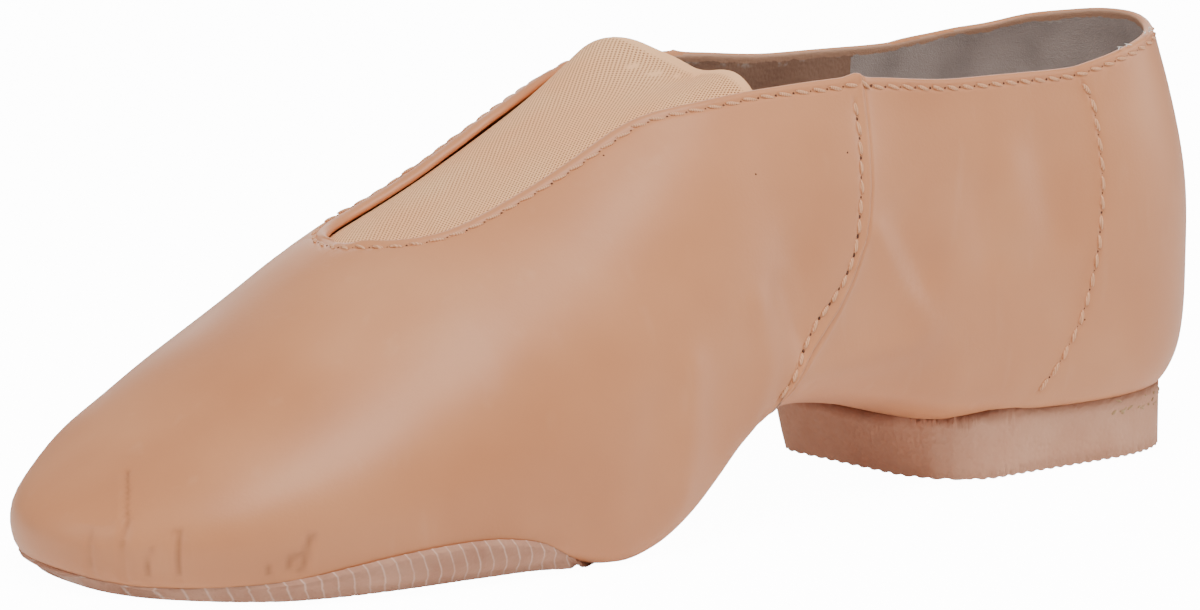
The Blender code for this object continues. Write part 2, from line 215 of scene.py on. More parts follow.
def attribute(tree, name):
    """A number stored at each point of the mesh."""
    made = tree.nodes.new("ShaderNodeAttribute")
    made.attribute_name = name
    return made.outputs["Fac"]


def wave(tree, value, pitch):
    return math(tree, "COSINE", math(tree, "MULTIPLY", value, 2 * pi / pitch), 0)


def xyz(tree, vector):
    made = tree.nodes.new("ShaderNodeSeparateXYZ")
    join(tree, (vector, made.inputs["Vector"]))
    return made.outputs


def finish(name, roughness, specular):
    """A new material: its tree, its surface and its Object coordinates."""
    made = bpy.data.materials.new(name)
    made.use_nodes = True
    tree = made.node_tree
    surface = tree.nodes["Principled BSDF"]
    surface.inputs["Roughness"].default_value = roughness
    surface.inputs["Specular IOR Level"].default_value = specular
    place = tree.nodes.new("ShaderNodeTexCoord").outputs["Object"]
    return made, tree, surface, place


def bump(tree, surface, height, strength, distance):
    made = node(tree, "ShaderNodeBump", Strength=strength, Distance=distance)
    join(tree, (height, made.inputs["Height"]), (made.outputs["Normal"], surface.inputs["Normal"]))


print("helpers ready")

# %% [markdown]
# ## Grain shared by every leather and rubber
# Leather has pores of about half a millimetre, and slow patches of deeper and paler tan where it was stretched.
# Several finishes need the same effect at other scales, so it is a node group: it puts out a height and a mask.

# %% The grain group
def grain_group():
    tree = bpy.data.node_groups.new("grain", "ShaderNodeTree")
    tree.interface.new_socket("Vector", in_out="INPUT", socket_type="NodeSocketVector")
    tree.interface.new_socket("Pores", in_out="INPUT", socket_type="NodeSocketFloat")
    tree.interface.new_socket("Patches", in_out="INPUT", socket_type="NodeSocketFloat")
    tree.interface.new_socket("Height", in_out="OUTPUT", socket_type="NodeSocketFloat")
    tree.interface.new_socket("Mask", in_out="OUTPUT", socket_type="NodeSocketFloat")
    start = tree.nodes.new("NodeGroupInput")
    end = tree.nodes.new("NodeGroupOutput")
    pores = node(tree, "ShaderNodeTexVoronoi", {"feature": "SMOOTH_F1"}, Smoothness=0.6)
    creasing = node(tree, "ShaderNodeTexNoise", Detail=3.0, Roughness=0.6)
    patches = node(tree, "ShaderNodeTexNoise", Detail=2.0, Roughness=0.5)
    join(tree,
         (start.outputs["Vector"], pores.inputs["Vector"]), (start.outputs["Pores"], pores.inputs["Scale"]),
         (start.outputs["Vector"], creasing.inputs["Vector"]),
         (math(tree, "MULTIPLY", start.outputs["Pores"], 0.3), creasing.inputs["Scale"]),
         (start.outputs["Vector"], patches.inputs["Vector"]),
         (start.outputs["Patches"], patches.inputs["Scale"]))
    height = math(tree, "ADD", math(tree, "MULTIPLY", pores.outputs["Distance"], 0.6), creasing.outputs["Fac"])
    join(tree, (height, end.inputs["Height"]), (patches.outputs["Fac"], end.inputs["Mask"]))
    return tree


GRAIN = grain_group()


def grain(tree, place, pores, patches):
    made = node(tree, "ShaderNodeGroup", {"node_tree": GRAIN}, Pores=pores, Patches=patches)
    join(tree, (place, made.inputs["Vector"]))
    return made.outputs["Height"], made.outputs["Mask"]


print("grain sockets:", [item.name for item in GRAIN.interface.items_tree])

# %% [markdown]
# ## Leather and linings
# The outside is smooth tan leather with a soft sheen: rough enough that a soft box melts into a broad glow.
# Inside, the vamp is lined with brown leather and the quarters with a grey textile, which is rough and has no
# gloss. An attribute is a number that each point of a mesh keeps: "folded" carries painted shade, which darkens
# the bottom of a wrinkle or a seam, and "from_rim" is the distance to the rim in millimetres.

# %% Tan leather
SCUFF_COLOUR = (0.86, 0.58, 0.42, 1)
# painted shade: the dark brown for the bottoms of wrinkles and seams, and how strongly it is mixed in
FOLD_SHADE_COLOUR = (0.26, 0.095, 0.045, 1)
FOLD_SHADE = 0.5
tan, tree, surface, place = finish("tan_leather", 0.40, 0.32)
height, mask = grain(tree, place, 1900, 34)
TANS = ((0.30, (0.575, 0.240, 0.112)), (0.55, (0.63, 0.275, 0.134)), (0.75, (0.67, 0.315, 0.162)))
stretch = node(tree, "ShaderNodeMapping", Scale=(260, 260, 60))
join(tree, (place, stretch.inputs["Vector"]))
scuffs = spread(tree, noise(tree, stretch.outputs["Vector"], 1.0), 0.62, 0.80, 0.0, 0.06)
scuffed = mixed(tree, scuffs, ramp(tree, mask, TANS), SCUFF_COLOUR)
# painted shade: the tan is mixed towards dark brown where "folded" marks a wrinkle or seam
crease_shade = math(tree, "MULTIPLY", attribute(tree, "folded"), FOLD_SHADE)
join(tree, (mixed(tree, crease_shade, scuffed, FOLD_SHADE_COLOUR), surface.inputs["Base Color"]),
     (math(tree, "MULTIPLY_ADD", mask, 0.16, 0.34), surface.inputs["Roughness"]))
bump(tree, surface, height, 0.07, 0.0003)
surface.inputs["Coat Weight"].default_value = 0.08
surface.inputs["Coat Roughness"].default_value = 0.30
print("outside:", tan.name)

# %% Lining leather and lining cloth
RIM_COLOUR = (0.60, 0.36, 0.25, 1)
LINT_COLOUR = (0.78, 0.74, 0.70, 1)


def lining(name, roughness, pores, patches, stops):
    """A lining whose upper border is hidden by the folded rim, with lint along the cut edge."""
    made, tree, surface, place = finish(name, roughness, 0.15)
    height, mask = grain(tree, place, pores, patches)
    ragged = noise(tree, place, 420.0, 3.0)
    wander = math(tree, "ADD", attribute(tree, "from_rim"), math(tree, "MULTIPLY", ragged, -1.2))
    band = spread(tree, wander, 1.9, 1.1, 0.0, 1.0)
    lint = math(tree, "MULTIPLY", band, spread(tree, ragged, 0.56, 0.66, 0.0, 0.45))
    covered = spread(tree, wander, 1.15, 1.0, 0.0, 1.0)
    linty = mixed(tree, lint, ramp(tree, mask, stops), LINT_COLOUR)
    join(tree, (mixed(tree, covered, linty, RIM_COLOUR), surface.inputs["Base Color"]))
    bump(tree, surface, height, 0.28, 0.0003)
    return made


brown = lining("lining_leather", 0.62, 1400, 60, ((0.3, (0.33, 0.19, 0.135)), (0.7, (0.46, 0.285, 0.21))))
grey = lining("lining_cloth", 0.95, 4200, 90, ((0.3, (0.42, 0.365, 0.352)), (0.7, (0.59, 0.515, 0.495))))
print("leathers:", tan.name, brown.name, grey.name)

# %% [markdown]
# ## From a plain solid to a smooth piece
# The solids in the frame are made of flat facets. A copy is merged, its triangles are joined back to quads,
# and a Subdivision Surface rounds it, which keeps the steps of the seams as soft edges.
# Creases are then pressed into the smooth copy, so the solid itself is never changed.

# %% Helpers for pieces
SHARP = radians(38)


def merged(name, sharp=False):
    """A merged copy of a frame solid, mostly quads; sharp keeps its hard edges."""
    mesh = bmesh.new()
    mesh.from_mesh(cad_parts[name].data)
    bmesh.ops.remove_doubles(mesh, verts=mesh.verts, dist=2e-6)
    bmesh.ops.join_triangles(mesh, faces=mesh.faces, angle_face_threshold=radians(50),
                             angle_shape_threshold=radians(70))
    hard = mesh.edges.layers.float.new("crease_edge")
    for edge in mesh.edges:
        if sharp and len(edge.link_faces) == 2 and edge.calc_face_angle() > SHARP:
            edge[hard] = 1.0
    return mesh


def to_piece(name, mesh, *finishes):
    """A mesh as a named piece that rides with the shoe."""
    data = bpy.data.meshes.new(name)
    mesh.to_mesh(data)
    mesh.free()
    for item in finishes:
        data.materials.append(item)
    data.shade_smooth()
    made = bpy.data.objects.new(name, data)
    bpy.context.scene.collection.objects.link(made)
    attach(made, "root")
    return made


def smoothed(made, levels):
    """Applies a Subdivision Surface, so that the fine mesh can be shaped."""
    rounding = made.modifiers.new("rounding", "SUBSURF")
    rounding.levels = levels
    rounding.render_levels = levels
    graph = bpy.context.evaluated_depsgraph_get()
    fine = bpy.data.meshes.new_from_object(made.evaluated_get(graph))
    made.modifiers.clear()
    coarse = made.data
    made.data = fine
    fine.name = made.name
    bpy.data.meshes.remove(coarse)
    return made


def points_of(data):
    flat = np.empty(len(data.vertices) * 3)
    data.vertices.foreach_get("co", flat)
    return flat.reshape(-1, 3)


def put_points(data, points):
    data.vertices.foreach_set("co", points.reshape(-1))
    data.update()


def triangles(made):
    return sum(len(face.vertices) - 2 for face in made.data.polygons)


print("piece helpers ready")

# %% [markdown]
# ## The upper
# The upper is one hollow of leather: vamp, quarters and counter. A copy of the solid is rounded once more,
# which gives faces of about a millimetre, small enough to bend with soft dents and folds.

# %% Copy the upper
HEEL_X, TOE_X = -6 * MM, 145 * MM
FOOT_Y = -2 * MM
# columns: x, height of the middle of the foot
FOOT_HEIGHT = ((-40 * MM, 38 * MM), (60 * MM, 34 * MM), (145 * MM, 14 * MM))


def from_middle(points):
    """Directions from the line through the middle of the foot, one for each point."""
    heights = np.interp(points[:, 0], [x for x, _ in FOOT_HEIGHT], [z for _, z in FOOT_HEIGHT])
    middle = np.stack([np.clip(points[:, 0], HEEL_X, TOE_X), np.full(len(points), FOOT_Y), heights], 1)
    away = points - middle
    return away / np.maximum(np.linalg.norm(away, axis=1, keepdims=True), 1e-9)


upper = smoothed(to_piece("soft_upper", merged("upper"), tan, brown, grey), 2)
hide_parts("upper")
print("upper:", triangles(upper), "triangles")

# %% [markdown]
# ## Creases
# Handled leather keeps soft dents over the quarter, a fold above the heel, and fine wrinkles where it was
# pulled under the toe. Each is a line of points on the shoe, in millimetres, with a width and a depth.
# A bell curve round the line presses a trough, or with a negative depth raises a ridge.

# %% Lines of the creases
# columns: width mm, depth mm, points of the line (x, y, z) in mm
CREASES = (
    (0.60, 0.50, ((186.8, 5.4, 18.1), (189.5, 9.4, 15.9), (192.1, 13.3, 12.4), (193.5, 14.3, 8.8),
                  (193.4, 14.4, 6.4), (193.4, 14.3, 4.1))),
    (0.75, 0.60, ((188.1, 21.2, 11.2), (188.4, 21.8, 8.9), (188.5, 21.7, 6.5), (188.6, 21.7, 4.9))),
    (0.55, 0.35, ((195.5, 8.1, 10.5), (195.9, 8.9, 7.1), (195.8, 8.5, 5.3), (195.6, 8.2, 3.9))),
    (0.55, 0.35, ((191.3, 18.3, 8.7), (191.3, 17.6, 5.7), (191.2, 17.4, 4.3))),
    (1.4, -0.35, ((188.2, 6.7, 17.8), (190.8, 10.4, 15.1), (192.0, 12.0, 12.5))),
    (3.5, 0.35, ((190.0, 20.0, 12.0), (191.0, 19.5, 6.0))),
    (0.85, 0.65, ((172.4, 34.3, 10.7), (173.1, 34.1, 8.9), (173.3, 33.9, 6.9), (173.7, 33.2, 5.6))),
    (0.75, 0.55, ((175.1, 32.8, 8.0), (175.4, 32.4, 6.0))),
    (0.60, 0.45, ((174.0, 33.2, 7.9), (174.9, 32.8, 7.0))),
    (0.60, 0.40, ((178.1, 31.2, 6.6), (178.1, 30.8, 5.1))),
    (5.0, 0.9, ((74.2, 35.1, 44.0), (72.5, 35.2, 36.0))),
    (2.4, 0.6, ((78.0, 36.0, 40.5), (75.5, 36.2, 34.0), (73.0, 36.0, 30.0))),
    (3.0, -0.5, ((84.0, 38.0, 38.0), (82.0, 38.5, 28.0), (84.0, 38.5, 18.0))),
    (2.6, -0.62, ((52.6, 30.6, 46.0), (49.5, 30.6, 40.0), (44.8, 30.4, 33.0), (41.0, 30.0, 29.0))),
    (4.5, 0.75, ((47.0, 30.6, 47.0), (43.0, 30.5, 39.0))),
    (4.6, -0.6, ((20.5, 27.6, 53.0), (18.5, 28.0, 45.0))),
    (5.0, 0.7, ((12.5, 28.0, 55.0), (10.0, 28.2, 44.0))),
    (4.0, 0.5, ((27.5, 28.5, 50.0), (26.0, 29.0, 40.0))),
    (3.0, -0.55, ((76.0, 35.6, 23.6), (60.2, 31.5, 25.0), (45.0, 30.1, 26.5))),
    (3.4, 0.55, ((66.0, 33.0, 20.0), (50.0, 30.5, 20.5), (38.0, 29.6, 21.5))),
    (3.2, -0.75, ((101.0, 40.5, 30.0), (102.0, 40.5, 20.0), (104.0, 40.0, 12.0))),
    (4.0, 0.5, ((110.0, 41.0, 24.0), (112.0, 41.0, 12.0))),
    (4.0, 0.45, ((93.5, 39.5, 26.0), (95.0, 39.5, 13.0))),
)
FAR_SIDE = (
    (5.0, 0.8, ((70.0, -31.0, 42.0), (66.0, -31.5, 34.0))),
    (2.4, -0.6, ((50.0, -28.5, 45.0), (44.0, -28.5, 34.0))),
    (3.0, -0.5, ((80.0, -31.0, 24.0), (58.0, -29.0, 25.0))),
    (4.0, 0.6, ((18.0, -27.0, 52.0), (15.0, -27.5, 42.0))),
    (1.0, 0.35, ((180.0, -33.5, 12.0), (181.0, -33.0, 6.0))),
    (1.0, 0.30, ((188.0, -26.5, 11.5), (188.5, -26.0, 6.0))),
)
# columns: reach mm, move (x, y, z) in mm, middle of the moved patch (x, y, z) in mm
SETTLING = (
    (8.0, (0.0, 0.6, -2.2), (118.0, 39.0, 4.0)),
    (9.0, (0.0, 0.0, -2.2), (109.0, 38.0, 6.0)),
    (9.0, (0.0, 0.0, -1.6), (95.0, 37.0, 11.0)),
    (1.8, (0.0, 0.0, 0.8), (53.8, 26.0, 71.5)),
    (1.8, (0.0, 0.0, 0.8), (53.8, -26.0, 71.5)),
    (13.0, (0.0, 0.0, -1.0), (190.0, 14.0, 2.0)),
    (13.0, (0.0, 0.0, -0.8), (176.0, 30.0, 2.0)),
    (8.0, (0.0, 0.0, 0.9), (179.0, -24.0, 19.0)),
    (9.0, (0.0, 0.3, 2.0), (81.0, -19.5, 71.0)),
    (15.0, (0.0, 0.0, -1.0), (155.0, -12.0, 38.0)),
    (7.0, (0.0, 0.0, -1.2), (-17.0, -20.5, 74.0)),
    (6.0, (0.0, 0.0, -0.5), (-8.0, -23.0, 72.5)),
    (8.0, (0.0, 0.0, 0.9), (-28.0, -1.0, 74.5)),
    (7.0, (0.0, 0.0, 0.9), (-27.0, 8.5, 74.5)),
)
print("creases:", len(CREASES) + len(FAR_SIDE), "settled places:", len(SETTLING))

# %% [markdown]
# Every crease first has to find the leather: its points are moved to the nearest place on the skin. A BVH
# tree, which sorts the faces by their place, answers such questions fast. Besides the local sags, the seat has
# settled on the heel as a whole, though not at its inner front corner.

# %% Press and settle
SEAT_DROP = 0.8 * MM
# in mm: below this height the seat settles, over this fade; behind this x, over this fade
SEAT_TOP, TOP_FADE, SEAT_FRONT, FRONT_FADE = 36, 24, 50, 22
# in mm: the corner that stays lies past this y and this x, over this fade
KEPT_Y, KEPT_X, KEPT_FADE = -4, 10, 15


def distance_to(points, line):
    """Distance of every point to a line of points."""
    nearest = np.full(len(points), np.inf)
    for a, b in zip(line, line[1:]):
        along = np.clip(((points - a) @ (b - a)) / max((b - a) @ (b - a), 1e-12), 0, 1)
        nearest = np.minimum(nearest, np.linalg.norm(points - (a + along[:, None] * (b - a)), axis=1))
    return nearest


def on_leather(skin, line):
    """A line given in millimetres, laid on the nearest leather."""
    return np.array([skin.find_nearest(Vector(point) * MM)[0] for point in line])


def pressed(points, rows):
    """The outward move of every point under these creases; columns: width mm, depth mm, line in metres."""
    move = np.zeros(len(points))
    for width, depth, line in rows:
        move -= depth * MM * np.exp(-(distance_to(points, line) / (width * MM)) ** 2)
    return move


def skin_of(made):
    return BVHTree.FromPolygons([v.co for v in made.data.vertices], [p.vertices for p in made.data.polygons])


def eased(share):
    """A step from 0 to 1 with soft ends."""
    share = np.clip(share, 0, 1)
    return share * share * (3 - 2 * share)


def seated(points):
    """How far the leather has settled over the top of the heel, as a downward move of every point."""
    x, y, z = points.T / MM
    kept = np.clip((KEPT_Y - y) / KEPT_FADE, 0, 1) * np.clip((x - KEPT_X) / KEPT_FADE, 0, 1)
    return SEAT_DROP * eased((SEAT_TOP - z) / TOP_FADE) * eased((SEAT_FRONT - x) / FRONT_FADE) * (1 - kept)


def shift_of(points, rows):
    """The soft move of every point; columns: reach mm, move mm, middle of the moved patch in mm."""
    total = np.zeros_like(points)
    for reach, move, middle in rows:
        near = np.exp(-(np.linalg.norm(points - np.array(middle) * MM, axis=1) / (reach * MM)) ** 2)
        total += near[:, None] * np.array(move) * MM
    return total


def settled(points):
    """Points after the leather has settled on the heel and sagged or been pulled in a few places."""
    moved = points + shift_of(points, SETTLING)
    moved[:, 2] -= seated(points)
    return moved


print("seat settles by", SEAT_DROP / MM, "mm")

# %% [markdown]
# Wrinkles finer than a millimetre need finer faces than the rest of the upper. Edges near a line are cut in
# three before anything is pressed in, and only there, so that the mesh stays light. Two slow waves that cross
# add a faint sway, because handled leather is nowhere quite even.

# %% Press the creases in
def refine(made, near):
    """Cuts the edges whose two ends are marked as near."""
    mesh = bmesh.new()
    mesh.from_mesh(made.data)
    edges = [e for e in mesh.edges if near[e.verts[0].index] and near[e.verts[1].index]]
    bmesh.ops.subdivide_edges(mesh, edges=edges, cuts=2, use_grid_fill=True)
    mesh.to_mesh(made.data)
    mesh.free()


def near_lines(points, lines, reach):
    return np.any([distance_to(points, line) < reach for line in lines], axis=0)


FLOOR_CLEAR = 0.3 * MM
FINE_WIDTH, FINE_REACH = 1, 3.2 * MM
SWAY = 0.20 * MM
# in mm: how slowly each of the two waves runs along the foot and up
FIRST_X, FIRST_Z, SECOND_X, SECOND_Z = 9.1, 13.0, 21.0, 7.3
skin = skin_of(upper)
creases = [(width, depth, on_leather(skin, line)) for width, depth, line in CREASES + FAR_SIDE]
fine_lines = [line for width, _, line in creases if width <= FINE_WIDTH]
refine(upper, near_lines(points_of(upper.data), fine_lines, FINE_REACH))
points = points_of(upper.data)
x, y, z = points.T / MM
sway = SWAY * np.sin(x / FIRST_X + z / FIRST_Z + 1.0) * np.sin(z / SECOND_Z - x / SECOND_X)
points = settled(points + from_middle(points) * (pressed(points, creases) + sway)[:, None])
points[:, 2] = np.maximum(points[:, 2], FLOOR_CLEAR)
put_points(upper.data, points)
print("upper:", triangles(upper), "triangles")

# %% [markdown]
# ## Finding the seams
# Every seam follows the leather, so its path is found by touching the upper: a level ray from outside meets
# the wall, and the highest level at which it still meets the near wall is the edge of the collar. That level is
# found by halving: it lies between two heights, and each touch says which half to keep.

# %% Touching the leather
FAR = 0.12
EDGE_LOWEST, EDGE_HIGHEST = 40 * MM, 84 * MM
DEEPEST_INSET = 12 * MM
EDGE_HALVINGS, INSET_HALVINGS = 16, 14


def touch(skin, centre, angle, level):
    """Where a level ray towards the middle meets the near wall, and the normal there."""
    out = Vector((cos(angle), sin(angle), 0))
    hit, normal, _, distance = skin.ray_cast(Vector((centre[0], centre[1], level)) + out * FAR, -out)
    return (hit, normal) if hit is not None and distance < FAR else (None, None)


def below_edge(skin, centre, angle, inset):
    """The point this far down the leather from the edge of the collar."""
    low, high = EDGE_LOWEST, EDGE_HIGHEST
    for _ in range(EDGE_HALVINGS):
        middle = (low + high) / 2
        if touch(skin, centre, angle, middle)[0] is None:
            high = middle
        else:
            low = middle
    end = touch(skin, centre, angle, low)[0]
    high, low = low, low - DEEPEST_INSET
    for _ in range(INSET_HALVINGS):
        middle = (low + high) / 2
        here = touch(skin, centre, angle, middle)[0]
        if here is None or (here - end).length < inset:
            high = middle
        else:
            low = middle
    return touch(skin, centre, angle, low)


SPINE = -3.2 * MM
TIP_X = 126 * MM
HEEL_RAYS, SIDE_RAYS, TIP_RAYS, WALL_RAYS = 12, 60, 26, 60


def on_spine(k):
    """The middle of the shoe, from the heel at 0 to the throat's tip at SIDE_RAYS."""
    return HEEL_X + (TIP_X - HEEL_X) * k / SIDE_RAYS, SPINE * k / SIDE_RAYS


# pairs of a ray's target and the angle it comes from: heel, outer side, tip, inner side, heel
ROUND = [(on_spine(0), pi - pi / 2 * k / HEEL_RAYS) for k in range(HEEL_RAYS)]
ROUND += [(on_spine(k), pi / 2) for k in range(SIDE_RAYS)]
ROUND += [(on_spine(SIDE_RAYS), pi / 2 - pi * k / TIP_RAYS) for k in range(TIP_RAYS + 1)]
ROUND += [(on_spine(SIDE_RAYS - k), -pi / 2) for k in range(1, SIDE_RAYS)]
ROUND += [(on_spine(0), -pi / 2 - pi / 2 * k / HEEL_RAYS) for k in range(HEEL_RAYS)]


def collar_path(skin, inset):
    """Points and normals round the collar and throat, from the heel's back along the outer side."""
    found = [below_edge(skin, centre, angle, inset) for centre, angle in ROUND]
    return [pair for pair in found if pair[0] is not None]


def wall_path(skin, table, side):
    """Points and normals down a side wall through pairs of x and z in mm."""
    levels = np.array([z for _, z in table])
    found = []
    for z in np.linspace(levels[0], levels[-1], WALL_RAYS):
        x = np.interp(-z, -levels, [x for x, _ in table]) * MM
        found.append(touch(skin, (x, 0), side * pi / 2, z * MM))
    return [pair for pair in found if pair[0] is not None]


def as_line(path):
    return np.array([at for at, _ in path])


print("rays round the collar:", len(ROUND))

# %% [markdown]
# The vamp laps over the quarters at a curved side seam with a rolled edge behind it, and a counter piece covers
# the back of the quarters. Both are given as pairs of x and height; the inner side gets the same lines.
# Round the far side of the throat the wall itself is pressed in a little, as the elastic pulls it.

# %% Grooves and rolled edges
# columns: x mm, height mm
LAP_SEAM = ((55.3, 68.5), (55.4, 63.9), (55.8, 60.5), (56.3, 57.3), (56.7, 54.1), (57.6, 50.6), (58.4, 47.0),
            (59.8, 43.3), (62.4, 39.5), (65.8, 36.3), (69.4, 33.3), (73.2, 28.5), (76.4, 24.7), (79.0, 21.8))
LAP_FOLD = ((53.2, 72.0), (53.4, 68.0), (54.0, 61.5), (54.8, 54.2), (55.7, 50.0), (57.0, 45.7), (60.7, 39.5),
            (64.6, 34.8), (71.0, 29.2), (76.0, 24.0), (79.2, 20.5), (82.0, 17.0))
COUNTER_SEAM = ((1.8, 67.4), (-0.2, 63.9), (-0.9, 57.9), (-1.2, 50.9), (-0.5, 44.9), (0.6, 37.9), (2.4, 31.3),
                (4.8, 25.4), (8.8, 18.9), (12.4, 14.4))
SEAM_INSET, RIM_INSET = 1.7 * MM, 0.05 * MM
BEHIND = 0.9
THROAT_FROM, THROAT_SIDE = 80 * MM, -6 * MM
THROAT_WIDTH, THROAT_DEPTH = 1.6, 0.7
SEAM_REACH, SEAM_SHADE, DEEPEST_SEAM = 1.7 * MM, 0.25, 0.5
SHADE_BAND_SHARE = 0.6

skin = skin_of(upper)
collar = collar_path(skin, SEAM_INSET)
edge_line = as_line(collar_path(skin, RIM_INSET))
closed = np.vstack([as_line(collar), as_line(collar)[:1]])
# columns: width mm, depth mm, line in metres
pressings = [(0.50, 0.26, closed)]
throat = edge_line[(edge_line[:, 0] > THROAT_FROM) & (edge_line[:, 1] < THROAT_SIDE)]
throat_pull = (THROAT_WIDTH, THROAT_DEPTH, throat)
pressings.append(throat_pull)
for side in (1, -1):
    pressings.append((0.45, 0.24, as_line(wall_path(skin, LAP_SEAM, side))))
    pressings.append((0.50, -0.22, as_line(wall_path(skin, LAP_FOLD, side))))
    behind = [(x - BEHIND, z) for x, z in LAP_FOLD]
    pressings.append((0.40, 0.26, as_line(wall_path(skin, behind, side))))
    pressings.append((0.45, 0.18, as_line(wall_path(skin, COUNTER_SEAM, side))))
refine(upper, near_lines(points_of(upper.data), [line for _, _, line in pressings], SEAM_REACH))
print("upper:", triangles(upper), "triangles")

# %% Paint shade along the folds and seams, and press the seams in
points = points_of(upper.data)
# painted shade: a dark band along each fine crease and shallow seam, stored in "folded"
shaded_lines = [(width, 1.0, line - from_middle(line) * depth * MM)
         for width, depth, line in creases if width <= FINE_WIDTH]
shaded_lines += [(width, SEAM_SHADE, line) for width, depth, line in pressings if 0 < depth < DEEPEST_SEAM]
line_shade = np.max([shade * np.exp(-(distance_to(points, line) / (SHADE_BAND_SHARE * width * MM)) ** 2)
               for width, shade, line in shaded_lines], axis=0)
upper.data.attributes.new("folded", "FLOAT", "POINT").data.foreach_set("value", line_shade)
put_points(upper.data, points + from_middle(points) * pressed(points, pressings)[:, None])
print("marked lines:", len(shaded_lines))

# %% [markdown]
# ## Lining
# Leather is tan outside and folded over the rim; inside, the vamp is lined with brown leather and the quarters
# with grey cloth. A face is inside when its normal points towards the middle of the foot.

# %% Choose the finish of each face
THROAT_X, THROAT_RIM = 74 * MM, 5.0 * MM
LINING_END = 12 * MM
data = upper.data
loop_line = np.vstack([edge_line, edge_line[:1]])
from_rim = data.attributes.new("from_rim", "FLOAT", "POINT")
from_rim.data.foreach_set("value", distance_to(points_of(data), loop_line) / MM)
count = len(data.polygons)
centres, normals = np.empty(count * 3), np.empty(count * 3)
data.polygons.foreach_get("center", centres)
data.polygons.foreach_get("normal", normals)
centres, normals = centres.reshape(-1, 3), normals.reshape(-1, 3)
folded = (distance_to(centres, loop_line) < THROAT_RIM) & (centres[:, 0] > THROAT_X)
inside = ((normals * from_middle(centres)).sum(1) < 0) & ~folded
kind = np.where(inside, np.where(centres[:, 0] > LINING_END, 1, 2), 0)
data.polygons.foreach_set("material_index", kind.astype(np.int32))
data.update()
print("lined faces:", int(inside.sum()), "of", count)

# %% [markdown]
# ## The gore
# The wedge in the throat is knitted elastic: a thin sheet, held stretched by the leather round it.
# Pin-sized dots run in staggered rows, so the pattern needs the cloth's own directions. A UV map gives them:
# one along the foot, one across it, both in metres of cloth. The back edge is a plain, smooth border.

# %% The elastic's knit
KNIT_ROW, KNIT_RIB = 1.00 * MM, 0.88 * MM
GAP_COLOUR = (0.38, 0.14, 0.06, 1)
knit, tree, surface, place = finish("knitted_elastic", 0.85, 0.2)
uv = tree.nodes.new("ShaderNodeUVMap")
uv.uv_map = "cloth"
along, over, _ = xyz(tree, uv.outputs["UV"])
dots = math(tree, "MULTIPLY", wave(tree, along, KNIT_ROW), wave(tree, over, KNIT_RIB))
dots = math(tree, "MULTIPLY", dots, attribute(tree, "knit_area"))
yarn = spread(tree, dots, 0.10, 0.60, 1.0, 0.0)
height, mask = grain(tree, place, 2400, 70)
fibre = ramp(tree, mask, ((0.3, (1.0, 0.53, 0.265)), (0.7, (1.0, 0.60, 0.32))))
join(tree, (mixed(tree, yarn, GAP_COLOUR, fibre), surface.inputs["Base Color"]))
relief = math(tree, "ADD", yarn, math(tree, "MULTIPLY", height, 0.3))
bump(tree, surface, relief, 0.55, 0.00025)
surface.inputs["Sheen Weight"].default_value = 0.05
print("knit: a row each", KNIT_ROW / MM, "mm")

# %% [markdown]
# The gore's own dips are soft moves like those of the leather, so the same helper makes them. Its border
# without dots is measured from the back edge of the plain sheet, in strips a millimetre wide.

# %% The gore as a sheet
HEM, HEM_FADE = 1.8 * MM, 0.5 * MM
GORE_LIFT = 0.15 * MM
ARC_GAIN = 14
# columns: reach mm, move (x, y, z) in mm, middle of the moved patch (x, y, z) in mm
GORE_SHAPE = (
    (6.0, (0.0, -0.5, 1.6), (77.0, -15.0, 74.5)),
    (6.0, (0.0, 0.0, -1.8), (73.0, -3.5, 74.5)),
    (6.0, (0.0, 0.0, -1.1), (72.0, 6.0, 70.5)),
)
gore = smoothed(to_piece("stretch_gore", merged("elastic_gore"), knit), 2)
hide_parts("elastic_gore")
points = points_of(gore.data)
rounded = settled(points)
rounded += shift_of(rounded, GORE_SHAPE)
rounded += from_middle(rounded) * (GORE_LIFT + pressed(rounded, [throat_pull]))[:, None]
put_points(gore.data, rounded)
across = points[:, 1] - SPINE
arc = across * (1 + ARC_GAIN * np.abs(across))
slots = np.round(across / MM).astype(int)
back = {k: points[slots == k, 0].min() for k in np.unique(slots)}
from_back = points[:, 0] - np.array([back[k] for k in slots])
area = gore.data.attributes.new("knit_area", "FLOAT", "POINT")
area.data.foreach_set("value", np.clip((from_back - HEM) / HEM_FADE, 0, 1))
cloth = gore.data.uv_layers.new(name="cloth")
corners = np.empty(len(gore.data.loops), dtype=np.int32)
gore.data.loops.foreach_get("vertex_index", corners)
cloth.data.foreach_set("uv", np.stack([points[corners, 0], arc[corners]], 1).reshape(-1))
print("gore:", triangles(gore), "triangles")

# %% [markdown]
# ## The front patch
# The patch under the ball is a thin moulded sheet with grooves across the foot. They show as pale lines on its
# curled edge, where they lean forward. The sheet is sliced at every groove, which makes room for a trough.

# %% Patch finish
GROOVE = 2.45 * MM
LEAN = 0.55
GROOVE_COLOUR = (0.72, 0.52, 0.42, 1)
patch_finish, tree, surface, place = finish("mauve_patch", 0.72, 0.3)
height, mask = grain(tree, place, 1500, 120)
base = ramp(tree, mask, ((0.3, (0.43, 0.215, 0.145)), (0.7, (0.54, 0.30, 0.21))))
along, _, up = xyz(tree, place)
run = math(tree, "SUBTRACT", along, math(tree, "MULTIPLY", up, LEAN))
lines = math(tree, "POWER", math(tree, "MAXIMUM", wave(tree, run, GROOVE), 0), 14)
streaks = noise(tree, place, 420.0)
paleness = math(tree, "MULTIPLY", lines, math(tree, "MULTIPLY", streaks, 1.3))
join(tree, (mixed(tree, paleness, base, GROOVE_COLOUR), surface.inputs["Base Color"]))
relief = math(tree, "ADD", height, math(tree, "MULTIPLY", streaks, 1.5))
bump(tree, surface, relief, 0.5, 0.0004)
